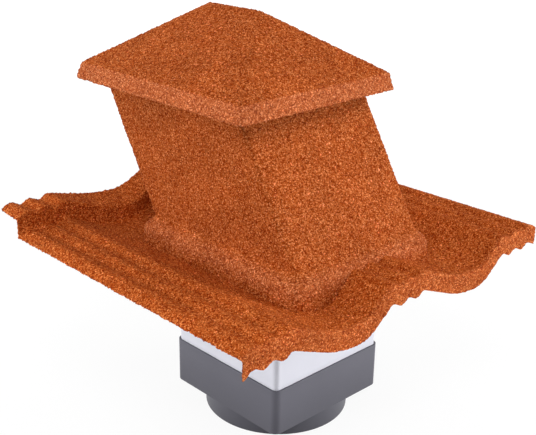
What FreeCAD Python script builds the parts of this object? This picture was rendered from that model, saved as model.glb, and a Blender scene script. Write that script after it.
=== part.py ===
import FreeCAD, Part
import math
import os

from FreeCAD import Vector

# Roof tile vent: a pressed wave tile carries a leaning hood with a hipped rain cap. A square duct
# hangs through the tile and ends in a square-to-round pipe adapter. The origin is the centre of the
# adapter's lower end, Z is the tile's normal, Y runs up the roof and X across it. Millimetres.

# Pressed tile
SHEET = 2.0
TILE_LEFT = -214.0
TILE_RIGHT = 220.75
NOSE_Y = -176.0
NOSE_HEIGHT = 20.5
UPSTAND_Y = 178.0
UPSTAND_HEIGHT = 20.0
FLANGE_DEPTH = 35.0
FLANGE_RISE = 16.0
FLANGE_FOOT_ROUND = 100.0
FOLD_FLAT = 2.0

# Wave of the tile: three ridges and two grooves on each crest, then a long flank, a pan and a short flank
PAN_LEVEL = 182.4
RIDGE_RISE = 26.0
GROOVE_DEPTH = 6.6
RIB_STEP = 22.85
GROOVE_RUN = 13.2
LONG_FLANK = 63.7
PAN_FLOOR = 37.3
SHORT_FLANK = 34.3
WAVE_PITCH = 2 * RIB_STEP + LONG_FLANK + PAN_FLOOR + SHORT_FLANK
CREST_X = 0.85
RIDGE_ROUND = 6.0
GROOVE_ROUND = 6.0
LONG_FOOT_ROUND = 100.0
SHORT_FOOT_ROUND = 30.0

# Hood: a folded shell that leans up the roof, with a sloped shoulder and an apron down to the tile
HOOD_WIDTH = 181.3
HOOD_DEPTH = 216.3
HOOD_LEAN = math.radians(30.74)
HOOD_AXIS_LEVEL = 224.8
HOOD_CORNER = 6.0
HOOD_RIM = 356.5
SHOULDER_TOP = 215.0
SHOULDER_DROP = 9.0
SHOULDER_REACH = 12.0
APRON_SLOPE = 0.19

# Rain cap: a flared skirt under a hipped roof
CAP_RIM = 351.2
CAP_WIDTH = 212.5
CAP_DEPTH = 261.0
CAP_SKIRT = 17.9
CAP_FLARE = 4.1
CAP_RISE = 65.8
CAP_RIDGE = 78.0
CAP_RIDGE_SHIFT = -4.2
CAP_SHIFT = 1.8
CAP_ROUND = 4.0

# Straps between the hood's side walls and the cap's side slopes
STRAP_WIDTH = 25.0
STRAP_SHEET = 1.5
STRAP_SPACING = 120.0
STRAP_GRIP = 26.0
STRAP_TAB = 24.0

# Square duct in the middle of the hood, and the curb that carries its flange
DUCT_ROOM = 12.45
DUCT_SIDE = HOOD_WIDTH - 2 * DUCT_ROOM
DUCT_WALL = 2.5
DUCT_CORNER = 6.0
DUCT_FLANGE = 6.0
DUCT_FLANGE_THICKNESS = 3.0
CURB_CLEARANCE = 0.4
CURB_SHEET = 1.5
CURB_TOP = 242.0

# Blind rivets through the curb and the duct
RIVET_SHANK = 4.0
RIVET_HEAD = 8.0
RIVET_HEAD_HEIGHT = 1.4
RIVET_TAIL = 6.0
RIVET_TAIL_LENGTH = 2.5
RIVET_DROP = 15.0

# Square-to-round pipe adapter
SPIGOT_DIAMETER = 160.0
SPIGOT_WALL = 3.0
SPIGOT_LENGTH = 20.0
SOCKET_HEIGHT = 51.0
SOCKET_WALL = 2.0
SOCKET_FLOOR = 3.0
SOCKET_CLEARANCE = 0.3

SOCKET_TOP = SPIGOT_LENGTH + SOCKET_HEIGHT
DUCT_FOOT = SPIGOT_LENGTH + SOCKET_FLOOR
BIG = 1000.0
TINY = 1e-6


def rounded_path(corners):
    """Straight runs and tangent arcs through (x, z, radius) corners in the plane y = 0."""
    points = [Vector(x, 0, z) for x, z, _ in corners]
    edges = []
    start = points[0]
    for index in range(1, len(points) - 1):
        here = points[index]
        radius = corners[index][2]
        back = (points[index - 1] - here).normalize()
        ahead = (points[index + 1] - here).normalize()
        half_angle = back.getAngle(ahead) / 2
        inward = (back + ahead).normalize()
        run = radius / math.tan(half_angle)
        middle = here + inward * (radius / math.sin(half_angle) - radius)
        edges.append(Part.LineSegment(start, here + back * run).toShape())
        edges.append(Part.Arc(here + back * run, middle, here + ahead * run).toShape())
        start = here + ahead * run
    edges.append(Part.LineSegment(start, points[-1]).toShape())
    return edges


def wave_corners(lift, rise, foot_round):
    """Corners of the tile's top line, from beyond its left side to beyond its right side."""
    ridge = PAN_LEVEL + RIDGE_RISE + lift
    groove = ridge - GROOVE_DEPTH
    pan = ridge - rise
    corners = []
    first = math.floor((TILE_LEFT - CREST_X) / WAVE_PITCH) - 1
    last = math.ceil((TILE_RIGHT - CREST_X) / WAVE_PITCH) + 1
    for crest in range(first, last + 1):
        x = CREST_X + crest * WAVE_PITCH - RIB_STEP
        for rib in range(2):
            corners.append((x, ridge, RIDGE_ROUND))
            corners.append((x + GROOVE_RUN, groove, GROOVE_ROUND))
            x += RIB_STEP
        corners.append((x, ridge, RIDGE_ROUND))
        corners.append((x + LONG_FLANK, pan, LONG_FOOT_ROUND))
        corners.append((x + LONG_FLANK + PAN_FLOOR, pan, foot_round))
    return corners


def wave_outline(top, bottom, y, rise=RIDGE_RISE, foot_round=SHORT_FOOT_ROUND):
    """Wire at y between two copies of the wave, at lifts top and bottom."""
    upper = rounded_path(wave_corners(top, rise, foot_round))
    lower = rounded_path(wave_corners(bottom, rise, foot_round))
    ends = []
    for edge_index, vertex_index in ((0, 0), (-1, 1)):
        high = upper[edge_index].Vertexes[vertex_index].Point
        low = lower[edge_index].Vertexes[vertex_index].Point
        ends.append(Part.LineSegment(high, low).toShape())
    outline = Part.Wire(Part.__sortEdges__(upper + lower + ends))
    return outline.translated(Vector(0, y, 0))


def wave_band(top, bottom, y, depth):
    """Solid between two copies of the wave, at lifts top and bottom, from y for a depth along Y."""
    return Part.Face(wave_outline(top, bottom, y)).extrude(Vector(0, depth, 0))


def back_flange():
    """Strip behind the upstand, whose waves grow shallower towards its back edge."""
    lower = UPSTAND_HEIGHT - SHEET
    front = wave_outline(UPSTAND_HEIGHT, lower, UPSTAND_Y)
    back = wave_outline(UPSTAND_HEIGHT, lower, UPSTAND_Y + FLANGE_DEPTH, FLANGE_RISE, FLANGE_FOOT_ROUND)
    return Part.makeLoft([front, back], True, True)


def under_tile():
    """Everything below the tile's top surface, used to trim what stands on the tile."""
    return wave_band(0, -PAN_LEVEL, NOSE_Y, UPSTAND_Y - NOSE_Y)


def fold_edges(solid):
    """Edges along the wave where the sheet folds down into the nose."""
    inside = Vector(0, SHEET / 2, -SHEET / 4)
    found = []
    for edge in solid.Edges:
        middle = edge.valueAt((edge.FirstParameter + edge.LastParameter) / 2)
        along = all(abs(vertex.Y - NOSE_Y) < TINY for vertex in edge.Vertexes)
        if along and solid.isInside(middle + inside, TINY, False):
            if not solid.isInside(middle - inside, TINY, True):
                found.append(edge)
    return found


def rounded_rectangle(width, depth, radius, centre):
    """Wire of a rectangle with round corners, level at its centre."""
    x, y = width / 2, depth / 2
    cut = radius * (1 - math.sqrt(0.5))
    edges = []
    for sx, sy in ((1, 1), (-1, 1), (-1, -1), (1, -1)):
        along_y = Vector(sx * x, sy * (y - radius), 0)
        along_x = Vector(sx * (x - radius), sy * y, 0)
        middle = Vector(sx * (x - cut), sy * (y - cut), 0)
        edges.append(Part.Arc(along_y, middle, along_x).toShape())
        side_x = Vector(-sx * (x - radius), sy * y, 0)
        side_y = Vector(sx * x, -sy * (y - radius), 0)
        edges.append(Part.LineSegment(along_x, side_x).toShape() if sx == sy
                     else Part.LineSegment(along_y, side_y).toShape())
    outline = Part.Wire(Part.__sortEdges__(edges))
    outline.translate(centre)
    return outline


def square_bar(side, corner, bottom, top):
    """Upright bar of a round-cornered square section on the duct's axis."""
    outline = rounded_rectangle(side, side, corner, Vector(0, 0, bottom))
    return Part.Face(outline).extrude(Vector(0, 0, top - bottom))


def hood_axis(z):
    """Point of the leaning hood's axis at a level."""
    return Vector(0, (z - HOOD_AXIS_LEVEL) * math.tan(HOOD_LEAN), z)


def duct_opening():
    """Side of the square opening in the tile and inside the curb."""
    return DUCT_SIDE + 2 * CURB_CLEARANCE


def base_tile():
    """Pressed tile with a down-turned nose, an upstand, a back flange and the duct's opening."""
    panel = wave_band(0, -SHEET, NOSE_Y, UPSTAND_Y + SHEET - NOSE_Y)
    nose = wave_band(0, -NOSE_HEIGHT, NOSE_Y, SHEET)
    upstand = wave_band(UPSTAND_HEIGHT - SHEET / 2, -SHEET, UPSTAND_Y, SHEET)
    tile = panel.fuse([nose, upstand, back_flange()]).removeSplitter()
    trim = Part.makeBox(TILE_RIGHT - TILE_LEFT, BIG, BIG, Vector(TILE_LEFT, -BIG / 2, 0))
    tile = tile.common(trim)
    tile = tile.makeChamfer(FOLD_FLAT, fold_edges(tile))
    return tile.cut(square_bar(duct_opening(), DUCT_CORNER, 0, BIG))


def hood_section(level, reach):
    """Outline of the hood at a level, grown by a reach on every side."""
    anchor = hood_axis(max(level, SHOULDER_TOP))
    centre = Vector(0, anchor.y, level)
    return rounded_rectangle(HOOD_WIDTH + 2 * reach, HOOD_DEPTH + 2 * reach, HOOD_CORNER + reach, centre)


def hood_neck(inset):
    """Level where the shoulder meets the wall, on the skin moved in by an inset."""
    shoulder = math.atan2(SHOULDER_DROP, SHOULDER_REACH)
    return SHOULDER_TOP - inset * (1 - math.sin(shoulder)) / math.cos(shoulder)


def apron_reach(level, inset):
    """Reach of the apron beyond the hood's wall at a level, on the skin moved in by an inset."""
    slant = math.hypot(1, APRON_SLOPE)
    return SHOULDER_REACH + (SHOULDER_TOP - SHOULDER_DROP - level) * APRON_SLOPE - inset * slant


def hood_skirt(inset):
    """Solid inside the shoulder and the apron, on the skin moved in by an inset."""
    neck = hood_neck(inset)
    spread = SHOULDER_REACH / SHOULDER_DROP
    knee = neck - (apron_reach(neck, inset) + inset) / (spread - APRON_SLOPE)
    foot = PAN_LEVEL - SHEET
    rings = [hood_section(neck, -inset)]
    for level in (knee, foot):
        rings.append(hood_section(level, apron_reach(level, inset)))
    return Part.makeLoft(rings, True, True)


def hood_walls(inset, rim):
    """Leaning bar inside the hood's walls moved in by an inset, from the shoulder to a rim level."""
    base = Part.Face(hood_section(SHOULDER_TOP, -inset))
    return base.extrude(hood_axis(rim) - hood_axis(SHOULDER_TOP))


def hood_body():
    """Leaning shell, open at both ends, whose shoulder and apron follow the tile's waves."""
    outside = hood_walls(0, HOOD_RIM).fuse(hood_skirt(0))
    neck = hood_neck(SHEET)
    throat = Part.Face(hood_section(neck, -SHEET)).extrude(Vector(0, 0, SHOULDER_TOP - neck))
    inside = hood_walls(SHEET, HOOD_RIM + SHEET).fuse([hood_skirt(SHEET), throat])
    return outside.cut(inside).cut(under_tile()).removeSplitter()


def cap_outline(level, grow, centre_y):
    """Corners of the cap's rectangle at a level."""
    x = CAP_WIDTH / 2 + grow
    y = CAP_DEPTH / 2 + grow
    return [Vector(sx * x, centre_y + sy * y, level) for sx, sy in ((-1, -1), (1, -1), (1, 1), (-1, 1))]


def cap_centre():
    """Place of the cap along the slope, over the hood's mouth."""
    return hood_axis(CAP_RIM).y + CAP_SHIFT


def polygon_face(points):
    """Flat face through corners in order."""
    return Part.Face(Part.makePolygon(points + points[:1]))


def rain_cap():
    """Hipped sheet cap with a flared drip skirt, open below."""
    y = cap_centre()
    fold_level = CAP_RIM + CAP_SKIRT
    rim = cap_outline(CAP_RIM, CAP_FLARE, y)
    fold = cap_outline(fold_level, 0, y)
    front = Vector(0, y + CAP_RIDGE_SHIFT - CAP_RIDGE / 2, fold_level + CAP_RISE)
    rear = Vector(0, y + CAP_RIDGE_SHIFT + CAP_RIDGE / 2, fold_level + CAP_RISE)
    faces = [polygon_face(rim[::-1])]
    for index in range(4):
        after = (index + 1) % 4
        faces.append(polygon_face([rim[index], rim[after], fold[after], fold[index]]))
    faces.append(polygon_face([fold[0], fold[1], front]))
    faces.append(polygon_face([fold[1], fold[2], rear, front]))
    faces.append(polygon_face([fold[2], fold[3], rear]))
    faces.append(polygon_face([fold[3], fold[0], front, rear]))
    outer = Part.Solid(Part.Shell(faces))
    upper = [edge for edge in outer.Edges if max(v.Z for v in edge.Vertexes) > CAP_RIM + TINY]
    outer = outer.makeFillet(CAP_ROUND, upper)
    bottom = [face for face in outer.Faces if abs(face.CenterOfMass.z - CAP_RIM) < TINY]
    return outer.makeThickness(bottom, -SHEET, TINY)


def cap_strap(side, y):
    """Bent strap from a hood side wall, up to a tab that lies under the cap's slope."""
    slope = math.atan2(CAP_RISE, CAP_WIDTH / 2)
    wall = HOOD_WIDTH / 2 - SHEET
    ridge_inside = CAP_RIM + CAP_SKIRT + CAP_RISE - SHEET / math.cos(slope)
    knee = Vector(wall, 0, ridge_inside - wall * math.tan(slope))
    inner_wall = wall - STRAP_SHEET
    lower_roof = ridge_inside - STRAP_SHEET / math.cos(slope)
    inner_knee = Vector(inner_wall, 0, lower_roof - inner_wall * math.tan(slope))
    tab = Vector(-math.cos(slope), 0, math.sin(slope)) * STRAP_TAB
    thick = Vector(-math.sin(slope), 0, -math.cos(slope)) * STRAP_SHEET
    foot = Vector(wall, 0, HOOD_RIM - STRAP_GRIP)
    inner_foot = Vector(inner_wall, 0, foot.z)
    outline = [foot, knee, knee + tab, knee + tab + thick, inner_knee, inner_foot]
    strap = polygon_face(outline).extrude(Vector(0, STRAP_WIDTH, 0))
    strap.translate(Vector(0, y - STRAP_WIDTH / 2, 0))
    return strap if side > 0 else strap.mirror(Vector(0, 0, 0), Vector(1, 0, 0))


def rivet_bars(radius, start, end):
    """One bar on each side of the duct, pointing outwards between two distances from its axis."""
    level = CURB_TOP - RIVET_DROP
    bars = []
    for turn in range(4):
        outwards = FreeCAD.Rotation(Vector(0, 0, 1), 90 * turn).multVec(Vector(1, 0, 0))
        foot = outwards * start + Vector(0, 0, level)
        bars.append(Part.makeCylinder(radius, end - start, foot, outwards))
    return bars


def rivet_holes():
    """Drill paths of the four rivets."""
    return rivet_bars(RIVET_SHANK / 2, DUCT_SIDE / 4, DUCT_SIDE)


def duct_rivets():
    """Four blind rivets, heads inside the duct and tails outside the curb."""
    inner = DUCT_SIDE / 2 - DUCT_WALL
    outer = duct_opening() / 2 + CURB_SHEET
    shanks = rivet_bars(RIVET_SHANK / 2, inner, outer)
    heads = rivet_bars(RIVET_HEAD / 2, inner - RIVET_HEAD_HEIGHT, inner)
    tails = rivet_bars(RIVET_TAIL / 2, outer, outer + RIVET_TAIL_LENGTH)
    rivets = [shank.fuse([head, tail]).removeSplitter() for shank, head, tail in zip(shanks, heads, tails)]
    return Part.makeCompound(rivets)


def duct_curb():
    """Folded square curb that stands on the tile round its opening."""
    side = duct_opening()
    curb = square_bar(side + 2 * CURB_SHEET, DUCT_CORNER + CURB_SHEET, PAN_LEVEL - SHEET, CURB_TOP)
    curb = curb.cut(square_bar(side, DUCT_CORNER, 0, BIG))
    return curb.cut([under_tile()] + rivet_holes())


def inner_duct():
    """Square duct that hangs by its flange on the curb and stands in the adapter's socket."""
    top = CURB_TOP + DUCT_FLANGE_THICKNESS
    tube = square_bar(DUCT_SIDE, DUCT_CORNER, DUCT_FOOT, top)
    flange = square_bar(DUCT_SIDE + 2 * DUCT_FLANGE, DUCT_CORNER + DUCT_FLANGE, CURB_TOP, top)
    bore = square_bar(DUCT_SIDE - 2 * DUCT_WALL, DUCT_CORNER - DUCT_WALL, 0, BIG)
    return tube.fuse(flange).removeSplitter().cut([bore] + rivet_holes())


def pipe_adapter():
    """Square socket over a round spigot, in one moulding."""
    inside = DUCT_SIDE + 2 * SOCKET_CLEARANCE
    corner = DUCT_CORNER + SOCKET_CLEARANCE
    socket = square_bar(inside + 2 * SOCKET_WALL, corner + SOCKET_WALL, SPIGOT_LENGTH, SOCKET_TOP)
    spigot = Part.makeCylinder(SPIGOT_DIAMETER / 2, SPIGOT_LENGTH)
    bore = Part.makeCylinder(SPIGOT_DIAMETER / 2 - SPIGOT_WALL, DUCT_FOOT)
    seat = square_bar(inside, corner, DUCT_FOOT, BIG)
    return socket.fuse(spigot).cut([bore, seat])


def all_pieces():
    """Every sub-part under its name."""
    pieces = {
        "base_tile": base_tile(),
        "hood_body": hood_body(),
        "rain_cap": rain_cap(),
        "duct_curb": duct_curb(),
        "inner_duct": inner_duct(),
        "duct_rivets": duct_rivets(),
        "pipe_adapter": pipe_adapter(),
    }
    middle = hood_axis(HOOD_RIM).y
    for end, along in (("front", -1), ("rear", 1)):
        for hand, side in (("left", -1), ("right", 1)):
            place = middle + along * STRAP_SPACING / 2
            pieces[f"cap_strap_{end}_{hand}"] = cap_strap(side, place)
    return pieces


os.makedirs("parts", exist_ok=True)
for name, shape in all_pieces().items():
    shape.exportStep(f"parts/{name}.step")
    print(name, len(shape.Solids), "valid" if shape.isValid() else "not valid", round(shape.Volume))
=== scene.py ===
"""Looks of a roof tile vent: stone-coated tile, hood and rain cap over a plastic duct and adapter."""

import logging
import math
from collections.abc import Callable
from dataclasses import dataclass
from enum import Enum
from typing import NamedTuple

import bmesh
import bpy
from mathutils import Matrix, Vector

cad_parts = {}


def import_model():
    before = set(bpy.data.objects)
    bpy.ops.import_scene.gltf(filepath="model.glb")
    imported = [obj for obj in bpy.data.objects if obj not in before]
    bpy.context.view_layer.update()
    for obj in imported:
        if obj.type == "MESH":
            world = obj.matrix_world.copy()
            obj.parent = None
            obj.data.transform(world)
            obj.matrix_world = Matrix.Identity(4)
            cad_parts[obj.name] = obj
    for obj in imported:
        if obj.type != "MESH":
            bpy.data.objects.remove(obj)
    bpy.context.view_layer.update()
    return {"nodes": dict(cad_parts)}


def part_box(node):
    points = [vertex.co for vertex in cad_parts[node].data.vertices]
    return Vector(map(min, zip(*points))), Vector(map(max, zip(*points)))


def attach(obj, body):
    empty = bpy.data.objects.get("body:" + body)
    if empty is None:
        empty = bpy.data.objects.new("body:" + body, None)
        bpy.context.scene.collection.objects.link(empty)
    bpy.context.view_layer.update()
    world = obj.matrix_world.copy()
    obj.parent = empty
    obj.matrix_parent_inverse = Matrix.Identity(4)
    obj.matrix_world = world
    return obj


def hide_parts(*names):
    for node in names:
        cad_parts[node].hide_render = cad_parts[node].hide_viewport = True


LOG = logging.getLogger("roof_tile_vent")
MM = 0.001
NEAR = 0.01 * MM
CUT_GAP = 3 * NEAR
SHELL_SMOOTH = math.radians(55)
NOSE_Y = -176.0 * MM
SHOULDER = 215.0 * MM
CAP_FOLD = 369.1 * MM

Colour = tuple[float, float, float]
Place = tuple[float, float, float]
Range = tuple[float, float]
Material = bpy.types.Material
Socket = bpy.types.NodeSocket

NOISE_RANGE: Range = (0.3, 0.7)
MIX_FIRST, MIX_SECOND, MIX_RESULT = 6, 7, 2


class Slot(Enum):
    """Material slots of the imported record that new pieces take."""

    STONE = "stone_coat"
    GREY = "grey_plastic"


class Axis(Enum):
    """Object axis that a finish changes along."""

    Y = "Y"
    Z = "Z"


class Join(Enum):
    """What a second form does to a first one."""

    ADD = "UNION"
    CUT = "DIFFERENCE"


class Corner(NamedTuple):
    """Corner of the tile's wave line, and how far down a flank it lies: 0 on a crest, 1 in a pan."""

    x: float
    level: float
    radius: float
    sink: float


def deselect_all() -> None:
    """Leave edit mode and deselect every object."""
    if bpy.context.mode != "OBJECT":
        bpy.ops.object.mode_set(mode="OBJECT")
    bpy.ops.object.select_all(action="DESELECT")


def activate(obj: bpy.types.Object) -> None:
    """Make an object the only selected one.

    Args:
        obj: Object to select.
    """
    deselect_all()
    obj.select_set(True)
    bpy.context.view_layer.objects.active = obj


def start_plane(name: str, location: Vector, size: Range, upright: bool) -> bpy.types.Object:
    """Add a plane at its size and place, and open it in edit mode.

    Args:
        name: Name of the new object.
        location: Middle of the plane.
        size: Width along X, and depth along Y or height along Z.
        upright: Whether the plane stands across Y instead of lying level.

    Returns:
        The new object, with its place in its mesh.
    """
    deselect_all()
    turn = (math.pi / 2, 0, 0) if upright else (0, 0, 0)
    bpy.ops.mesh.primitive_plane_add(size=1, location=location, rotation=turn)
    obj = bpy.context.object
    obj.name = name
    obj.scale = (size[0], size[1], 1)
    bpy.ops.object.transform_apply(location=True, rotation=True, scale=True)
    bpy.ops.object.mode_set(mode="EDIT")
    return obj


def pick_points(obj: bpy.types.Object, test: Callable[[Vector], bool]) -> None:
    """Select the vertices that pass a test on their place, and what lies between them.

    Args:
        obj: Object in edit mode.
        test: Says whether a place belongs to the selection.
    """
    bpy.ops.mesh.select_mode(type="VERT")
    bpy.ops.mesh.select_all(action="DESELECT")
    mesh = bmesh.from_edit_mesh(obj.data)
    for vert in mesh.verts:
        if test(vert.co):
            vert.select_set(True)
    mesh.select_flush(True)
    bmesh.update_edit_mesh(obj.data)


def pick_edges(obj: bpy.types.Object, test: Callable[[Vector, Vector], bool]) -> None:
    """Select the edges that pass a test on their two ends.

    Args:
        obj: Object in edit mode.
        test: Says whether an edge between two places belongs to the selection.
    """
    bpy.ops.mesh.select_mode(type="EDGE")
    bpy.ops.mesh.select_all(action="DESELECT")
    mesh = bmesh.from_edit_mesh(obj.data)
    for edge in mesh.edges:
        if test(edge.verts[0].co, edge.verts[1].co):
            edge.select_set(True)
    bmesh.update_edit_mesh(obj.data)


def extrude(move: Place) -> None:
    """Extrude the selection by a move."""
    bpy.ops.mesh.extrude_region_move(TRANSFORM_OT_translate={"value": move})


def round_edges(width: float, segments: int) -> None:
    """Bevel the selected edges to a round of a tangent width."""
    kind = {"offset_type": "OFFSET", "affect": "EDGES", "clamp_overlap": True}
    bpy.ops.mesh.bevel(offset=width, segments=segments, **kind)


def close_form(obj: bpy.types.Object) -> bpy.types.Object:
    """Merge doubles, turn the faces outwards and leave edit mode.

    Args:
        obj: Object in edit mode.

    Returns:
        The same object.
    """
    bpy.ops.mesh.select_all(action="SELECT")
    bpy.ops.mesh.remove_doubles(threshold=NEAR)
    bpy.ops.mesh.normals_make_consistent(inside=False)
    bpy.ops.object.mode_set(mode="OBJECT")
    return obj


def apply_modifier(obj: bpy.types.Object, kind: str, **settings: object) -> None:
    """Add a modifier with its settings and apply it.

    Args:
        obj: Object to change.
        kind: Blender's name of the modifier.
        settings: Values of the modifier's properties.
    """
    activate(obj)
    modifier = obj.modifiers.new(kind.lower(), kind)
    for name, value in settings.items():
        setattr(modifier, name, value)
    bpy.ops.object.modifier_apply(modifier=modifier.name)


def combine(obj: bpy.types.Object, other: bpy.types.Object, join: Join) -> None:
    """Add another closed form to an object or cut it away, and remove that form.

    Args:
        obj: Object that keeps the result.
        other: Form that is used up.
        join: What the form does to the object.
    """
    settings = {"operation": join.value, "solver": "MANIFOLD", "material_mode": "TRANSFER"}
    apply_modifier(obj, "BOOLEAN", object=other, **settings)
    bpy.data.objects.remove(other)


def clean_cut(obj: bpy.types.Object) -> None:
    """Merge the points that a cut left close together, and divide all faces into triangles.

    A triangle that the division leaves doubled, as a flat fold on the cut's rim, is deleted.

    Args:
        obj: Closed object that was cut.
    """
    activate(obj)
    bpy.ops.object.mode_set(mode="EDIT")
    bpy.ops.mesh.select_all(action="SELECT")
    bpy.ops.mesh.remove_doubles(threshold=CUT_GAP)
    bpy.ops.mesh.quads_convert_to_tris(quad_method="BEAUTY", ngon_method="BEAUTY")
    bpy.ops.mesh.select_all(action="DESELECT")
    bpy.ops.mesh.select_mode(type="EDGE")
    bpy.ops.mesh.select_non_manifold()
    bpy.ops.mesh.select_mode(type="FACE")
    bpy.ops.mesh.delete(type="FACE")
    bpy.ops.object.mode_set(mode="OBJECT")


def stand_for(piece: bpy.types.Object, node: str) -> None:
    """Put a finished piece in place of its CAD node and report it.

    Args:
        piece: New piece.
        node: CAD node that it stands for.
    """
    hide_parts(node)
    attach(piece, "root")
    LOG.info("%s: %d faces", piece.name, len(piece.data.polygons))


def coat_with(form: bpy.types.Object, look: Material) -> None:
    """Give a form one material."""
    form.data.materials.clear()
    form.data.materials.append(look)


def seen_rays(tree: bpy.types.NodeTree) -> Socket:
    """Add a factor that is 1 for rays that show a surface: straight, in gloss or through glass.

    Args:
        tree: Node tree of a material or a world.

    Returns:
        The factor's output.
    """
    rays = tree.nodes.new("ShaderNodeLightPath").outputs
    factor = rays["Is Camera Ray"]
    for name in ("Is Glossy Ray", "Is Transmission Ray"):
        either = tree.nodes.new("ShaderNodeMath")
        either.operation = "MAXIMUM"
        tree.links.new(factor, either.inputs[0])
        tree.links.new(rays[name], either.inputs[1])
        factor = either.outputs[0]
    return factor


def darker(colour: Colour, shade: float) -> Colour:
    """Colour at a share of its brightness."""
    return tuple(part * shade for part in colour)


class NodeSheet:
    """A material's node tree, with short calls to fill it."""

    def __init__(self, name: str) -> None:
        """Start a material that holds only its shader and output.

        Args:
            name: Name of the material.
        """
        self.material = bpy.data.materials.new(name)
        self.material.use_nodes = True
        self.tree = self.material.node_tree
        self.shader = self.tree.nodes["Principled BSDF"]
        self.place = self.add("ShaderNodeTexCoord").outputs["Object"]

    def add(
        self, kind: str, links: dict | None = None, values: dict | None = None, **settings: object
    ) -> bpy.types.Node:
        """Add a node.

        Args:
            kind: Blender's name of the node.
            links: Input name to the output that feeds it.
            values: Input name to its own value.
            settings: Values of the node's properties.

        Returns:
            The new node.
        """
        node = self.tree.nodes.new(kind)
        for name, value in settings.items():
            setattr(node, name, value)
        for name, value in (values or {}).items():
            node.inputs[name].default_value = value
        for name, output in (links or {}).items():
            self.tree.links.new(output, node.inputs[name])
        return node

    def noise(self, size: float, detail: float = 3.0) -> Socket:
        """Add a factor of noise with a feature size."""
        values = {"Scale": 1 / size, "Detail": detail}
        return self.add("ShaderNodeTexNoise", {"Vector": self.place}, values).outputs["Fac"]

    def cells(self, size: float) -> bpy.types.Node:
        """Add a pattern of cells of a size."""
        return self.add("ShaderNodeTexVoronoi", {"Vector": self.place}, {"Scale": 1 / size})

    def pick(self, cells: bpy.types.Node, channel: str = "Red") -> Socket:
        """Add a factor that each cell has by chance."""
        return self.add("ShaderNodeSeparateColor", {"Color": cells.outputs["Color"]}).outputs[channel]

    def along(self, axis: Axis) -> Socket:
        """Add the place along an axis of the object."""
        return self.add("ShaderNodeSeparateXYZ", {"Vector": self.place}).outputs[axis.value]

    def spread(
        self, source: Socket, low: float, high: float, start: float = 0.0, end: float = 1.0
    ) -> Socket:
        """Map a factor onto a range.

        Args:
            source: Factor to map.
            low: Result at start.
            high: Result at end.
            start: Factor that gives low.
            end: Factor that gives high.

        Returns:
            The mapped output.
        """
        values = {"From Min": start, "From Max": end, "To Min": low, "To Max": high}
        return self.add("ShaderNodeMapRange", {"Value": source}, values).outputs["Result"]

    def ramp(self, source: Socket, stops: list[tuple[float, Colour]]) -> Socket:
        """Turn a factor into colours.

        Args:
            source: Factor to read.
            stops: Places from 0 to 1 with their colours.

        Returns:
            The colour output.
        """
        node = self.add("ShaderNodeValToRGB", {"Fac": source})
        elements = node.color_ramp.elements
        while len(elements) < len(stops):
            elements.new(1.0)
        for element, (place, colour) in zip(elements, stops):
            element.position = place
            element.color = (*colour, 1.0)
        return node.outputs["Color"]

    def clouds(self, size: float, colour: Colour, shade: float, detail: float = 3.0) -> Socket:
        """Add a colour with darker clouds of a size.

        Args:
            size: Size of the clouds.
            colour: The lighter colour.
            shade: Share of its brightness in the clouds.
            detail: Detail of the clouds' edges.

        Returns:
            The colour output.
        """
        low, high = NOISE_RANGE
        return self.ramp(self.noise(size, detail), [(low, darker(colour, shade)), (high, colour)])

    def tint(self, colour: Socket, factor: Socket) -> Socket:
        """Multiply a colour by a factor."""
        node = self.add("ShaderNodeVectorMath", {0: colour, 1: factor}, operation="MULTIPLY")
        return node.outputs["Vector"]

    def mix(self, share: Socket, first: Socket, second: Socket) -> Socket:
        """Mix two colours.

        Args:
            share: Share of the second colour.
            first: Colour at share 0.
            second: Colour at share 1.

        Returns:
            The colour output.
        """
        # A Mix node has sockets of one name for each data type, so the colours go by number.
        links = {"Factor": share, MIX_FIRST: first, MIX_SECOND: second}
        return self.add("ShaderNodeMix", links, data_type="RGBA").outputs[MIX_RESULT]

    def work_out(self, operation: str, first: Socket, second: Socket) -> Socket:
        """Work out a factor from two others by one of Blender's operations."""
        return self.add("ShaderNodeMath", {0: first, 1: second}, operation=operation).outputs[0]

    def feed(self, name: str, output: Socket) -> None:
        """Link an output to one of the shader's inputs."""
        self.tree.links.new(output, self.shader.inputs[name])

    def fix(self, name: str, value: object) -> None:
        """Set one of the shader's inputs to a value."""
        self.shader.inputs[name].default_value = value

    def bump(self, height: Socket, strength: float, distance: float) -> None:
        """Give the shader a bump from a height."""
        values = {"Strength": strength, "Distance": distance}
        self.feed("Normal", self.add("ShaderNodeBump", {"Height": height}, values).outputs["Normal"])


@dataclass(frozen=True)
class GranuleRelief:
    """Stone granules that stand out of a coated sheet's mesh."""

    voxel: float = 1.4 * MM
    smoothing: float = 0.5
    rounding: int = 3
    swell: float = 0.6 * MM
    swell_size: float = 7.0 * MM
    stone_height: float = 1.8 * MM
    stone_size: float = 2.8 * MM
    mid_level: float = 0.5

    def displace(self, obj: bpy.types.Object, kind: str, size: float, strength: float) -> None:
        """Move a mesh's surface by a texture.

        Args:
            obj: Object to change.
            kind: Blender's name of the texture.
            size: Size of its features.
            strength: Height of the relief.
        """
        texture = bpy.data.textures.new(f"coat_{kind.lower()}", kind)
        texture.noise_scale = size
        apply_modifier(obj, "DISPLACE", texture=texture, strength=strength, mid_level=self.mid_level)

    def cover(self, obj: bpy.types.Object) -> None:
        """Turn a closed form into an even fine mesh with granules standing out of it.

        Args:
            obj: Closed form.
        """
        apply_modifier(obj, "REMESH", mode="VOXEL", voxel_size=self.voxel)
        apply_modifier(obj, "SMOOTH", factor=self.smoothing, iterations=self.rounding)
        self.displace(obj, "CLOUDS", self.swell_size, self.swell)
        self.displace(obj, "VORONOI", self.stone_size, -self.stone_height)


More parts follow.
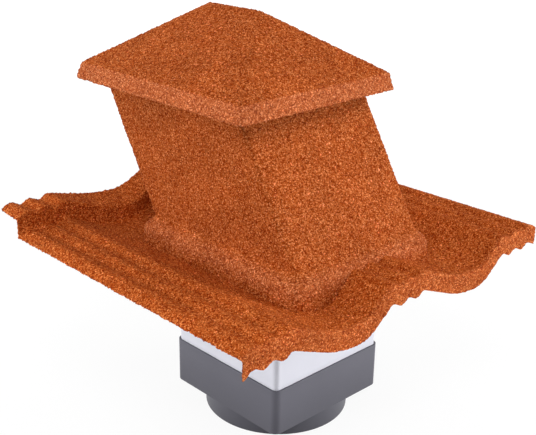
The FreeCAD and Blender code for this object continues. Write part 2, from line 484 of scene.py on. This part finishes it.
@dataclass(frozen=True)
class PaintedHighlightBand:
    """Painted highlight: paler, whitish granules on the low side of a place along an axis, standing in
    for brighter light on that band of the sheet.

    Attributes:
        axis: Axis along which the coat changes.
        edge: Place where the band ends.
        fade: Length over which it fades out there.
        share: Share of the painted highlight tone in the band.
        reach: Distance below the edge at which the coat is plain again.
    """

    axis: Axis
    edge: float
    fade: float
    share: float
    reach: float = 1.0


@dataclass(frozen=True)
class StoneCoat:
    """Finish of orange stone granules bonded to sheet steel, with a few larger pale ones, painted
    highlights, painted shade in the crevices and a light tint per part.
    """

    band: PaintedHighlightBand
    light_tint: Colour
    grain: float = 1.15 * MM
    grain_bump: float = 0.5
    # Painted shade in the crevices between granules.
    crevice: Range = (0.4, 0.85)
    crevice_shade: float = 0.6
    pebble: float = 4.2 * MM
    pebble_dome: Range = (0.15, 0.45)
    pebble_chance: Range = (0.8, 0.9)
    pebble_highlight_gain: float = 1.55
    patch_size: float = 40.0 * MM
    patch_shades: Range = (0.9, 1.1)
    roughness: Range = (0.68, 0.95)
    specular: float = 0.04
    bump: float = 0.6
    bump_height: float = 1.4 * MM
    highlight_gain: Colour = (1.05, 1.18, 1.57)
    highlight_sheen: Colour = (0.06, 0.0225, 0.0126)
    tones: tuple[tuple[float, Colour], ...] = (
        (0.0, (0.2, 0.017, 0.0005)),
        (0.25, (0.32, 0.048, 0.0045)),
        (0.55, (0.44, 0.09, 0.015)),
        (0.85, (0.61, 0.162, 0.041)),
        (1.0, (0.82, 0.265, 0.085)),
    )

    def highlight_tone(self, tone: Colour) -> Colour:
        """Tone of a granule under the painted highlight, lifted and hazed towards white like a sheen.
        """
        return tuple(a * gain + haze for a, gain, haze in zip(tone, self.highlight_gain, self.highlight_sheen))

    def highlight_share(self, sheet: NodeSheet) -> Socket:
        """Add the share of the painted highlight tone along the band's axis.

        Args:
            sheet: Material to add it to.

        Returns:
            The share's output.
        """
        band = self.band
        along = sheet.along(band.axis)
        end = sheet.spread(along, band.share, 0.0, band.edge - band.fade / 2, band.edge + band.fade / 2)
        start = sheet.spread(along, 0.0, 1.0, band.edge - band.reach, band.edge - band.reach / 2)
        return sheet.tint(end, start)

    def pebbles(self, sheet: NodeSheet) -> Socket:
        """Add the domes of the larger granules, which only some of the cells hold and which carry
        painted highlights.

        Args:
            sheet: Material to add them to.

        Returns:
            The output of the domes' height from 0 to 1.
        """
        cells = sheet.cells(self.pebble)
        dome = sheet.spread(cells.outputs["Distance"], 1.0, 0.0, *self.pebble_dome)
        held = sheet.spread(sheet.pick(cells), 0.0, 1.0, *self.pebble_chance)
        return sheet.tint(dome, held)

    def material(self, name: str) -> Material:
        """Build the finish.

        Args:
            name: Name of the material.

        Returns:
            The new material.
        """
        sheet = NodeSheet(name)
        grains = sheet.cells(self.grain)
        chance = sheet.pick(grains)
        # The part's light tint shifts the tones, painted light that stands in for how light falls on
        # that part.
        stops = [(place, tuple(a * b for a, b in zip(tone, self.light_tint))) for place, tone in self.tones]
        plain = sheet.ramp(chance, stops)
        # Each granule's tone under the painted highlight.
        pale = sheet.ramp(chance, [(place, self.highlight_tone(tone)) for place, tone in stops])
        domes = self.pebbles(sheet)
        # The larger granules take the painted highlight tone as well.
        share = sheet.work_out("MAXIMUM", self.highlight_share(sheet), domes)
        mixed = sheet.mix(share, plain, pale)
        patches = sheet.spread(sheet.noise(self.patch_size), *self.patch_shades, *NOISE_RANGE)
        away = grains.outputs["Distance"]
        # Painted shade: each granule darkens towards its edge, where the crevices between granules lie
        # in shade.
        painted_crevice_shade = sheet.spread(away, 1.0, self.crevice_shade, *self.crevice)
        colour = sheet.tint(sheet.tint(mixed, patches), painted_crevice_shade)
        # Painted highlight: each larger granule is painted brighter towards the middle of its dome.
        sheet.feed("Base Color", sheet.tint(colour, sheet.spread(domes, 1.0, self.pebble_highlight_gain)))
        sheet.feed("Roughness", sheet.spread(sheet.pick(grains, "Green"), *self.roughness))
        height = sheet.work_out("ADD", sheet.spread(away, self.grain_bump, 0.0), domes)
        sheet.bump(height, self.bump, self.bump_height)
        sheet.fix("Specular IOR Level", self.specular)
        return sheet.material


@dataclass(frozen=True)
class MouldedPlastic:
    """Satin moulded plastic with a fine skin and painted shade that darkens it towards its low end."""

    colour: Colour
    low_shade: float
    low_reach: float = 60.0 * MM
    cloud_shade: float = 0.94
    cloud_size: float = 60.0 * MM
    skin_size: float = 0.9 * MM
    skin_detail: float = 2.0
    roughness: Range = (0.42, 0.56)
    specular: float = 0.2
    bump: float = 0.08
    bump_height: float = 0.1 * MM

    def material(self, name: str) -> Material:
        """Build the finish.

        Args:
            name: Name of the material.

        Returns:
            The new material.
        """
        sheet = NodeSheet(name)
        colour = sheet.clouds(self.cloud_size, self.colour, self.cloud_shade)
        # Painted shade: the colour darkens towards the low end, standing in for the shade that falls
        # there.
        painted_low_shade = sheet.spread(sheet.along(Axis.Z), self.low_shade, 1.0, 0.0, self.low_reach)
        sheet.feed("Base Color", sheet.tint(colour, painted_low_shade))
        skin = sheet.noise(self.skin_size, self.skin_detail)
        sheet.feed("Roughness", sheet.spread(skin, *self.roughness, *NOISE_RANGE))
        sheet.bump(skin, self.bump, self.bump_height)
        sheet.fix("Specular IOR Level", self.specular)
        return sheet.material


@dataclass(frozen=True)
class ZincSheet:
    """Bare galvanised or aluminium sheet with faint spangles."""

    colour: Colour
    spangle: float = 9.0 * MM
    spangle_shade: float = 0.8
    roughness: Range = (0.32, 0.5)
    ripple: float = 3.0 * MM
    bump: float = 0.05
    bump_height: float = 0.1 * MM

    def material(self, name: str) -> Material:
        """Build the finish.

        Args:
            name: Name of the material.

        Returns:
            The new material.
        """
        sheet = NodeSheet(name)
        chance = sheet.pick(sheet.cells(self.spangle))
        stops = [(0.0, darker(self.colour, self.spangle_shade)), (1.0, self.colour)]
        sheet.feed("Base Color", sheet.ramp(chance, stops))
        sheet.feed("Roughness", sheet.spread(chance, *self.roughness))
        sheet.bump(sheet.noise(self.ripple), self.bump, self.bump_height)
        sheet.fix("Metallic", 1.0)
        return sheet.material


@dataclass(frozen=True)
class BackPrimer:
    """Dull primer on the back of the coated sheets."""

    colour: Colour = (0.2, 0.17, 0.15)
    cloud_shade: float = 0.8
    cloud_size: float = 25.0 * MM
    cloud_detail: float = 5.0
    gloss_size: float = 4.0 * MM
    roughness: Range = (0.5, 0.7)
    skin_size: float = 1.5 * MM
    bump: float = 0.1
    bump_height: float = 0.2 * MM

    def material(self, name: str) -> Material:
        """Build the finish.

        Args:
            name: Name of the material.

        Returns:
            The new material.
        """
        sheet = NodeSheet(name)
        colour = sheet.clouds(self.cloud_size, self.colour, self.cloud_shade, self.cloud_detail)
        sheet.feed("Base Color", colour)
        sheet.feed("Roughness", sheet.spread(sheet.noise(self.gloss_size), *self.roughness))
        sheet.bump(sheet.noise(self.skin_size), self.bump, self.bump_height)
        return sheet.material


@dataclass
class Finishes:
    """Every material of the vent, made once."""

    tile: Material
    hood: Material
    cap: Material
    primer: Material
    white: Material
    grey: Material
    zinc: Material
    rivet: Material

    @classmethod
    def make(cls) -> "Finishes":
        """Make every material from its finish.

        Returns:
            The materials.
        """
        # Painted highlights on the tile's nose, the hood's shoulder and the cap's skirt, where more
        # light falls.
        nose = PaintedHighlightBand(Axis.Y, edge=NOSE_Y + 4 * MM, fade=4 * MM, share=0.5)
        shoulder = PaintedHighlightBand(Axis.Z, edge=SHOULDER - 3 * MM, fade=6 * MM, share=0.65, reach=20 * MM)
        skirt = PaintedHighlightBand(Axis.Z, edge=CAP_FOLD, fade=2 * MM, share=1.0)
        # Tile, hood and cap share one coat under different light tints: painted lit and shaded copies
        # of it.
        return cls(
            tile=StoneCoat(nose, light_tint=(1.05, 1.0, 0.87)).material("stone_tile"),
            hood=StoneCoat(shoulder, light_tint=(0.965, 0.98, 1.02)).material("stone_hood"),
            cap=StoneCoat(skirt, light_tint=(0.92, 0.91, 0.9)).material("stone_cap"),
            primer=BackPrimer().material("back_primer"),
            white=MouldedPlastic((0.81, 0.81, 0.89), low_shade=0.97).material("white_plastic"),
            grey=MouldedPlastic((0.145, 0.142, 0.17), low_shade=0.66).material("grey_plastic"),
            zinc=ZincSheet((0.62, 0.63, 0.65)).material("zinc_steel"),
            rivet=ZincSheet((0.7, 0.7, 0.71), spangle=4.0 * MM).material("rivet_metal"),
        )


def dress_shell(
    shell: bpy.types.Object,
    inside: bpy.types.Object,
    relief: GranuleRelief,
    looks: tuple[Material, Material],
    node: str,
) -> None:
    """Cover a closed form with granules, hollow it and put it in place of its CAD node.

    Args:
        shell: Outer form of the sheet.
        inside: Form that is cut away, so that only the sheet is left.
        relief: Granules that cover the form.
        looks: Materials of the coated side and of the back.
        node: CAD node that the sheet stands for.
    """
    relief.cover(shell)
    for form, look in zip((shell, inside), looks):
        coat_with(form, look)
    combine(shell, inside, Join.CUT)
    clean_cut(shell)
    bpy.ops.object.shade_smooth_by_angle(angle=SHELL_SMOOTH)
    stand_for(shell, node)


@dataclass
class WaveTile:
    """Pressed tile: a wave across the roof, a turned-down nose, an upstand and a flange behind it."""

    sheet: float = 2.0 * MM
    left: float = -214.0 * MM
    right: float = 220.75 * MM
    nose_y: float = NOSE_Y
    nose_height: float = 20.5 * MM
    upstand_y: float = 178.0 * MM
    upstand_height: float = 20.0 * MM
    flange_depth: float = 35.0 * MM
    flange_rise: float = 16.0 * MM
    ease_steps: int = 7
    pan_level: float = 182.4 * MM
    ridge_rise: float = 26.0 * MM
    groove_depth: float = 6.6 * MM
    rib_step: float = 22.85 * MM
    groove_run: float = 13.2 * MM
    long_flank: float = 63.7 * MM
    pan_floor: float = 37.3 * MM
    short_flank: float = 34.3 * MM
    crest_x: float = 0.85 * MM
    ridge_round: float = 6.0 * MM
    groove_round: float = 6.0 * MM
    coat_fill: float = 3.0 * MM
    long_foot_round: float = 100.0 * MM
    short_foot_round: float = 30.0 * MM
    fewest_facets: int = 3
    facet_turn: float = math.radians(10)
    opening: float = 157.2 * MM
    depth_below: float = 40.0 * MM
    cutter_margin: float = 10.0 * MM
    relief: GranuleRelief = GranuleRelief(voxel=1.55 * MM)

    @property
    def pitch(self) -> float:
        """Width of one wave."""
        return 2 * self.rib_step + self.long_flank + self.pan_floor + self.short_flank

    @property
    def panel_back(self) -> float:
        """Y of the panel's back, behind the upstand's sheet."""
        return self.upstand_y + self.sheet

    @property
    def flange_back(self) -> float:
        """Y of the flange's back edge."""
        return self.upstand_y + self.flange_depth

    @property
    def pan_ease(self) -> float:
        """Height that the pans gain along the flange."""
        return self.ridge_rise - self.flange_rise

    def wave_line(self, lift: float, margin: float, soft: float) -> list[Corner]:
        """Corners of the wave between the tile's sides.

        Args:
            lift: Height above the tile's top surface.
            margin: Distance that the line runs past each side.
            soft: Radius that the coat adds to the ribs and grooves.

        Returns:
            Corners from left to right, with a plain end at each side.
        """
        ridge = self.pan_level + self.ridge_rise + lift
        pan = self.pan_level + lift
        left, right = self.left - margin, self.right + margin
        corners = []
        for crest in range(math.floor(left / self.pitch) - 1, math.ceil(right / self.pitch) + 2):
            x = self.crest_x + crest * self.pitch - self.rib_step
            for _ in range(2):
                corners.append(Corner(x, ridge, self.ridge_round + soft, 0.0))
                foot = ridge - self.groove_depth
                corners.append(Corner(x + self.groove_run, foot, self.groove_round + soft, 0.0))
                x += self.rib_step
            corners.append(Corner(x, ridge, self.ridge_round + soft, 0.0))
            x += self.long_flank
            corners.append(Corner(x, pan, self.long_foot_round, 1.0))
            corners.append(Corner(x + self.pan_floor, pan, self.short_foot_round, 1.0))
        inner = [corner for corner in corners if left + NEAR < corner.x < right - NEAR]
        ends = []
        for side in (left, right):
            after = next(index for index, corner in enumerate(corners) if corner.x > side)
            low, high = corners[after - 1], corners[after]
            share = (side - low.x) / (high.x - low.x)
            level = low.level + share * (high.level - low.level)
            ends.append(Corner(side, level, 0.0, low.sink + share * (high.sink - low.sink)))
        return [ends[0], *inner, ends[1]]

    def wave_block(
        self,
        name: str,
        lift: float,
        front: float,
        back: float,
        floor: float,
        margin: float = 0.0,
        ease: float = 0.0,
        soft: float = 0.0,
    ) -> bpy.types.Object:
        """Model a closed block with the wave as its top.

        Args:
            name: Name of the block.
            lift: Height of its top above the tile's top surface.
            front: Y of its front.
            back: Y of its back.
            floor: Z of its flat bottom.
            margin: Distance that it runs past each side of the tile.
            ease: Height that the pans have gained at its back.
            soft: Radius that the coat adds to the ribs and grooves.

        Returns:
            The block.
        """
        line = self.wave_line(lift, margin, soft)
        first = line[0]
        width = line[1].x - first.x
        middle = Vector((first.x + width / 2, front, (floor + first.level) / 2))
        block = start_plane(name, middle, (width, first.level - floor), True)
        for before, corner in zip(line, line[1:]):
            if before is not first:
                pick_points(block, lambda place: abs(place.x - before.x) < NEAR)
                extrude((corner.x - before.x, 0, 0))
            pick_points(block, lambda place: abs(place.x - corner.x) < NEAR and place.z > floor + NEAR)
            bpy.ops.transform.translate(value=(0, 0, corner.level - before.level))
        steps = self.ease_steps if ease else 1
        run = (back - front) / steps
        for step in range(steps):
            reached = front + step * run
            pick_points(block, lambda place: place.y > reached - NEAR)
            extrude((0, run, 0))
            for corner in line:
                pick_points(
                    block,
                    lambda place: abs(place.x - corner.x) < NEAR
                    and place.y > reached + run / 2 and place.z > floor + NEAR,
                )
                bpy.ops.transform.translate(value=(0, 0, ease * corner.sink / steps))
        for before, corner, after in zip(line, line[1:], line[2:]):
            self.round_corner(block, before, corner, after)
        return close_form(block)

    def round_corner(
        self, block: bpy.types.Object, before: Corner, corner: Corner, after: Corner
    ) -> None:
        """Round one corner of the wave along the whole block.

        Args:
            block: Block in edit mode.
            before: Corner on its left.
            corner: Corner to round.
            after: Corner on its right.
        """
        rise = math.atan2(corner.level - before.level, corner.x - before.x)
        fall = math.atan2(after.level - corner.level, after.x - corner.x)
        turn = abs(fall - rise)
        pick_edges(
            block,
            lambda a, b: max(abs(a.x - corner.x), abs(b.x - corner.x)) < NEAR
            and min(a.z, b.z) > corner.level - NEAR and abs(a.y - b.y) > NEAR,
        )
        facets = max(self.fewest_facets, round(turn / self.facet_turn))
        round_edges(corner.radius * math.tan(turn / 2), facets)

    def under_side(self) -> bpy.types.Object:
        """Model all that lies below the sheet and the nose, and the duct's opening, to cut it away.

        Returns:
            One closed form.
        """
        floor = self.pan_level - 2 * self.depth_below
        margin = self.cutter_margin
        nose_back = self.nose_y + self.sheet
        under = self.wave_block("under_panel", -self.sheet, nose_back, self.panel_back, floor, margin)
        # The neighbours overlap by a hair, so that no skin is left between them.
        flange = self.wave_block(
            "under_flange",
            self.upstand_height - self.sheet,
            self.panel_back - NEAR,
            self.flange_back + margin,
            floor,
            margin,
            self.pan_ease * (1 + margin / self.flange_depth),
        )
        nose = self.wave_block(
            "under_nose", -self.nose_height, self.nose_y - margin, nose_back + NEAR, floor, margin
        )
        bar = start_plane("duct_opening", Vector((0, 0, floor)), (self.opening, self.opening), False)
        bpy.ops.mesh.select_all(action="SELECT")
        extrude((0, 0, self.ridge_rise + 4 * self.depth_below))
        close_form(bar)
        for form in (flange, nose, bar):
            combine(under, form, Join.ADD)
        return under

    def build(self, finishes: Finishes) -> None:
        """Model and dress the tile.

        Args:
            finishes: Materials of the vent.
        """
        floor = self.pan_level - self.depth_below
        tile = self.wave_block(
            "stone_coated_tile", 0.0, self.nose_y, self.panel_back, floor, soft=self.coat_fill
        )
        step = self.wave_block(
            "tile_step",
            self.upstand_height,
            self.upstand_y,
            self.flange_back,
            floor,
            ease=self.pan_ease,
        )
        combine(tile, step, Join.ADD)
        dress_shell(tile, self.under_side(), self.relief, (finishes.tile, finishes.primer), "base_tile")


@dataclass
class LeaningHood:
    """Hood that leans up the roof, with a sloped shoulder and an apron down to the tile's waves."""

    tile: WaveTile
    sheet: float = 2.0 * MM
    width: float = 181.3 * MM
    depth: float = 216.3 * MM
    lean: float = math.radians(30.74)
    axis_level: float = 224.8 * MM
    corner: float = 6.0 * MM
    corner_facets: int = 5
    rim: float = 356.5 * MM
    shoulder_top: float = SHOULDER
    shoulder_drop: float = 9.0 * MM
    shoulder_reach: float = 12.0 * MM
    apron_slope: float = 0.19
    fold: float = 2.5 * MM
    fold_facets: int = 3
    sink: float = 0.6 * MM
    relief: GranuleRelief = GranuleRelief()

    def axis_y(self, level: float) -> float:
        """Y of the leaning axis at a level, upright below the shoulder."""
        return (max(level, self.shoulder_top) - self.axis_level) * math.tan(self.lean)

    def add_ring(self, obj: bpy.types.Object, level: float, reach: float) -> None:
        """Add the hood's outline at a level to the mesh in edit mode.

        Args:
            obj: Object in edit mode.
            level: Z of the outline.
            reach: Distance that it stands out from the hood's wall.
        """
        middle = (0, self.axis_y(level), level)
        bpy.ops.mesh.primitive_plane_add(size=1, location=middle)
        size = (self.width + 2 * reach, self.depth + 2 * reach, 1)
        bpy.ops.transform.resize(value=size, center_override=middle)
        bpy.ops.mesh.bevel(offset=self.corner + reach, segments=self.corner_facets, affect="VERTICES")
        pick_points(obj, lambda place: abs(place.z - level) < NEAR)
        bpy.ops.mesh.delete(type="ONLY_FACE")

    def skin(self, name: str, inset: float, rim: float, foot: float) -> bpy.types.Object:
        """Model the closed form inside the hood's skin.

        Args:
            name: Name of the form.
            inset: Distance that the skin is moved in.
            rim: Level of its flat top.
            foot: Level of its flat bottom.

        Returns:
            The form.
        """
        shoulder = math.atan2(self.shoulder_drop, self.shoulder_reach)
        neck = self.shoulder_top - inset * (1 - math.sin(shoulder)) / math.cos(shoulder)
        apron = inset * math.hypot(1, self.apron_slope)

        def reach_at(level: float) -> float:
            """Reach of the apron at a level."""
            fall = self.shoulder_top - self.shoulder_drop - level
            return self.shoulder_reach + fall * self.apron_slope - apron

        spread = self.shoulder_reach / self.shoulder_drop
        knee = neck - (reach_at(neck) + inset) / (spread - self.apron_slope)
        rings = [(rim, -inset), (neck, -inset), (knee, reach_at(knee)), (foot, reach_at(foot))]
        form = start_plane(name, Vector(), (self.width, self.depth), False)
        bpy.ops.mesh.delete(type="VERT")
        for level, reach in rings:
            self.add_ring(form, level, reach)
        for (upper, _), (lower, _) in zip(rings, rings[1:]):
            pick_points(form, lambda place: min(abs(place.z - upper), abs(place.z - lower)) < NEAR)
            bpy.ops.mesh.bridge_edge_loops()
        for level in (rim, foot):
            pick_points(form, lambda place: abs(place.z - level) < NEAR)
            bpy.ops.mesh.edge_face_add()
        for level in (neck, knee):
            pick_edges(form, lambda a, b: max(abs(a.z - level), abs(b.z - level)) < NEAR)
            round_edges(self.fold, self.fold_facets)
        return close_form(form)

    def build(self, finishes: Finishes) -> None:
        """Model and dress the hood.

        Args:
            finishes: Materials of the vent.
        """
        tile = self.tile
        foot = tile.pan_level - tile.depth_below / 2
        hood = self.skin("stone_coated_hood", 0.0, self.rim, foot)
        inside = self.skin("hood_inside", self.sheet, self.rim + self.sheet, foot - self.sheet)
        seat = tile.wave_block(
            "hood_seat", -self.sink, tile.nose_y, tile.upstand_y, foot - tile.depth_below
        )
        combine(inside, seat, Join.ADD)
        dress_shell(hood, inside, self.relief, (finishes.hood, finishes.primer), "hood_body")


@dataclass
class RainCap:
    """Hipped sheet cap with a flared drip skirt."""

    middle_y: float
    sheet: float = 2.0 * MM
    rim: float = 351.2 * MM
    width: float = 212.5 * MM
    depth: float = 261.0 * MM
    fold: float = CAP_FOLD
    flare: float = 4.1 * MM
    rise: float = 65.8 * MM
    ridge: float = 78.0 * MM
    ridge_shift: float = -4.2 * MM
    edge_round: float = 2.0 * MM
    edge_facets: int = 3
    cutter_drop: float = 10.0 * MM
    relief: GranuleRelief = GranuleRelief()

    def form(self, name: str, inset: float, drop: float) -> bpy.types.Object:
        """Model the closed form inside the cap's skin.

        Args:
            name: Name of the form.
            inset: Distance that the skin is moved in.
            drop: Distance that the skirt runs on below the rim.

        Returns:
            The form.
        """
        fold_level = self.fold - inset / 2
        rim_level = self.rim - drop
        flare = self.flare * (fold_level - rim_level) / (self.fold - self.rim)
        fold_size = (self.width - 2 * inset, self.depth - 2 * inset)
        rim_size = (fold_size[0] + 2 * flare, fold_size[1] + 2 * flare)
        cap = start_plane(name, Vector((0, self.middle_y, rim_level)), rim_size, False)
        bpy.ops.mesh.select_all(action="SELECT")
        extrude((0, 0, fold_level - rim_level))
        centre = (0, self.middle_y, fold_level)
        shrink = (fold_size[0] / rim_size[0], fold_size[1] / rim_size[1], 1)
        bpy.ops.transform.resize(value=shrink, center_override=centre)
        extrude((0, 0, self.rise - inset))
        top = (0, self.middle_y, fold_level + self.rise - inset)
        bpy.ops.transform.resize(value=(0, self.ridge / fold_size[1], 1), center_override=top)
        bpy.ops.transform.translate(value=(0, self.ridge_shift, 0))
        bpy.ops.mesh.select_all(action="SELECT")
        bpy.ops.mesh.remove_doubles(threshold=NEAR)
        pick_edges(cap, lambda a, b: max(a.z, b.z) > rim_level + NEAR)
        round_edges(self.edge_round, self.edge_facets)
        return close_form(cap)

    def build(self, finishes: Finishes) -> None:
        """Model and dress the cap.

        Args:
            finishes: Materials of the vent.
        """
        cap = self.form("stone_coated_cap", 0.0, 0.0)
        inside = self.form("cap_inside", self.sheet, self.cutter_drop)
        dress_shell(cap, inside, self.relief, (finishes.cap, finishes.primer), "rain_cap")


@dataclass
class PipeAdapter:
    """Grey moulding: a square socket round the duct over a round spigot."""

    side: float = 161.0 * MM
    corner: float = 8.3 * MM
    corner_facets: int = 8
    wall: float = 2.2 * MM
    seat: float = 23.0 * MM
    shelf: float = 20.0 * MM
    top: float = 71.0 * MM
    spigot: float = 80.0 * MM
    spigot_facets: int = 160
    spigot_wall: float = 3.0 * MM
    edge_round: float = 0.8 * MM
    edge_facets: int = 3
    edge_angle: float = math.radians(50)
    smooth_angle: float = math.radians(35)

    def square_bar(self, name: str, inset: float, bottom: float, top: float) -> bpy.types.Object:
        """Model an upright bar of the socket's round-cornered square section.

        Args:
            name: Name of the bar.
            inset: Distance that its sides are moved in.
            bottom: Level of its lower end.
            top: Level of its upper end.

        Returns:
            The bar.
        """
        side = self.side - 2 * inset
        bar = start_plane(name, Vector((0, 0, bottom)), (side, side), False)
        bpy.ops.mesh.select_all(action="SELECT")
        extrude((0, 0, top - bottom))
        pick_edges(bar, lambda a, b: abs(a.z - b.z) > NEAR)
        round_edges(self.corner - inset, self.corner_facets)
        return close_form(bar)

    def round_rod(self, name: str, inset: float, bottom: float, top: float) -> bpy.types.Object:
        """Model an upright rod of the spigot's round section.

        Args:
            name: Name of the rod.
            inset: Distance that its wall is moved in.
            bottom: Level of its lower end.
            top: Level of its upper end.

        Returns:
            The rod.
        """
        deselect_all()
        bpy.ops.mesh.primitive_cylinder_add(
            vertices=self.spigot_facets,
            radius=self.spigot - inset,
            depth=top - bottom,
            location=(0, 0, (bottom + top) / 2),
        )
        rod = bpy.context.object
        rod.name = name
        bpy.ops.object.transform_apply(location=True, rotation=True, scale=True)
        return rod

    def build(self, finishes: Finishes) -> None:
        """Model and dress the adapter.

        Args:
            finishes: Materials of the vent.
        """
        adapter = self.square_bar("grey_adapter", 0.0, self.shelf, self.top)
        inside = self.square_bar("socket_inside", self.wall, self.seat, self.top + self.wall)
        combine(adapter, self.round_rod("spigot", 0.0, 0.0, self.seat - NEAR), Join.ADD)
        combine(adapter, inside, Join.CUT)
        bore = self.round_rod("spigot_bore", self.spigot_wall, -self.wall, self.seat + NEAR)
        combine(adapter, bore, Join.CUT)
        limit = {"limit_method": "ANGLE", "angle_limit": self.edge_angle}
        apply_modifier(adapter, "BEVEL", width=self.edge_round, segments=self.edge_facets, **limit)
        coat_with(adapter, finishes.grey)
        activate(adapter)
        bpy.ops.object.shade_smooth_by_angle(angle=self.smooth_angle)
        stand_for(adapter, "pipe_adapter")


@dataclass
class DuctWork:
    """Plastic duct with its steel fixings, shown by their CAD nodes."""

    nodes: dict[str, bpy.types.Object]

    def dress(self, finishes: Finishes) -> None:
        """Give each node its finish.

        Args:
            finishes: Materials of the vent.
        """
        looks = {
            "inner_duct": finishes.white,
            "duct_curb": finishes.zinc,
            "duct_rivets": finishes.rivet,
        }
        for name, node in self.nodes.items():
            material = finishes.zinc if name.startswith("cap_strap") else looks.get(name)
            if material:
                node.material_slots[0].material = material
                LOG.info("%s: dressed", name)


class Lamp(NamedTuple):
    """Soft lamp: its name, where it hangs in metres and its power in watts."""

    name: str
    place: Place
    power: float


@dataclass
class Studio:
    """Pale floor, soft lamps and the camera at the photograph's angle."""

    camera_place: Place = (-680.9 * MM, -679.6 * MM, 590.1 * MM)
    camera_turn: float = math.radians(-41.78)
    camera_height: float = math.radians(20.884)
    lens: float = 64.59
    shift: Range = (0.0745, -0.008)
    lamp_size: float = 1.3
    lamp_aim: Place = (0.0, 0.0, 0.25)
    lamps: tuple[Lamp, ...] = (
        Lamp("front_lamp", (1.7, -1.7, 0.45), 65.0),
        Lamp("rear_lamp", (-1.9, 1.4, 0.5), 44.0),
        Lamp("left_lamp", (-1.1, -1.0, 2.2), 30.0),
        Lamp("fill_lamp", (-1.7, -1.5, 1.2), 14.0),
        Lamp("right_lamp", (1.3, 0.4, 2.2), 13.0),
        Lamp("back_lamp", (0.0, 1.7, 1.9), 9.0),
    )
    floor_size: float = 12.0
    floor_level: float = -0.5 * MM
    floor_colour: Colour = (0.5, 0.5, 0.5)
    floor_roughness: float = 0.9
    floor_glow: float = 0.8
    floor_white: float = 1.14
    shadow_reach: float = 1.4
    sky_light: float = 0.08

    def view(self) -> Vector:
        """Direction in which the camera looks.

        Returns:
            A vector of length 1.
        """
        level = math.cos(self.camera_height)
        across = math.sin(self.camera_turn) * level
        along = math.cos(self.camera_turn) * level
        return Vector((-across, along, -math.sin(self.camera_height)))

    def hang(self, data: bpy.types.ID, place: Vector, aim: Vector) -> bpy.types.Object:
        """Put a camera or a lamp in the scene.

        Args:
            data: Camera or lamp.
            place: Where it hangs.
            aim: Direction in which it points.

        Returns:
            The new object.
        """
        obj = bpy.data.objects.new(data.name, data)
        bpy.context.scene.collection.objects.link(obj)
        obj.location = place
        obj.rotation_mode = "QUATERNION"
        obj.rotation_quaternion = aim.to_track_quat("-Z", "Y")
        return obj

    def add_camera(self) -> None:
        """Create the camera."""
        data = bpy.data.cameras.new("camera")
        data.lens = self.lens
        data.shift_x, data.shift_y = self.shift
        bpy.context.scene.camera = self.hang(data, Vector(self.camera_place), self.view())

    def add_lamps(self) -> None:
        """Create the lamps, which all point at the vent."""
        for lamp in self.lamps:
            data = bpy.data.lights.new(lamp.name, "AREA")
            data.size = self.lamp_size
            data.energy = lamp.power
            place = Vector(lamp.place)
            self.hang(data, place, Vector(self.lamp_aim) - place)

    def add_floor(self) -> None:
        """Create the floor, white to the camera but with a trace of the vent's shadow."""
        deselect_all()
        bpy.ops.mesh.primitive_plane_add(size=self.floor_size, location=(0, 0, self.floor_level))
        floor = bpy.context.object
        floor.name = "floor"
        sheet = NodeSheet("pale_floor")
        sheet.fix("Base Color", (*self.floor_colour, 1))
        sheet.fix("Roughness", self.floor_roughness)
        sheet.fix("Specular IOR Level", 0.0)
        away = sheet.add("ShaderNodeVectorMath", {0: sheet.place}, operation="LENGTH").outputs["Value"]
        glow = sheet.spread(away, self.floor_glow, 1.0, self.shadow_reach / 2, self.shadow_reach)
        share = sheet.work_out("MULTIPLY", seen_rays(sheet.tree), glow)
        white = sheet.add("ShaderNodeEmission", None, {"Strength": self.floor_white})
        links = {0: share, 1: sheet.shader.outputs[0], 2: white.outputs[0]}
        mix = sheet.add("ShaderNodeMixShader", links)
        output = sheet.tree.nodes["Material Output"]
        sheet.tree.links.new(mix.outputs[0], output.inputs["Surface"])
        floor.data.materials.append(sheet.material)

    def set_world(self) -> None:
        """Give the world a soft white light, and white where the camera sees it."""
        world = bpy.data.worlds.new("studio")
        world.use_nodes = True
        tree = world.node_tree
        backdrop = tree.nodes["Background"]
        backdrop.inputs["Color"].default_value = (1, 1, 1, 1)
        strength = tree.nodes.new("ShaderNodeMapRange")
        strength.inputs["To Min"].default_value = self.sky_light
        strength.inputs["To Max"].default_value = 1.0
        tree.links.new(seen_rays(tree), strength.inputs["Value"])
        tree.links.new(strength.outputs["Result"], backdrop.inputs["Strength"])
        bpy.context.scene.world = world

    def build(self) -> None:
        """Set the stage."""
        bpy.context.scene.view_settings.view_transform = "Standard"
        self.add_camera()
        self.add_lamps()
        self.add_floor()
        self.set_world()


def main() -> None:
    """Build the vent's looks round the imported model."""
    logging.basicConfig(level=logging.INFO, format="%(name)s: %(message)s")
    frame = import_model()
    finishes = Finishes.make()
    tile = WaveTile()
    hood = LeaningHood(tile)
    cap = RainCap(middle_y=sum(corner.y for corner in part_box("rain_cap")) / 2)
    for piece in (tile, hood, cap, PipeAdapter()):
        piece.build(finishes)
    DuctWork(frame["nodes"]).dress(finishes)
    Studio().build()


if __name__ == "__main__":
    main()
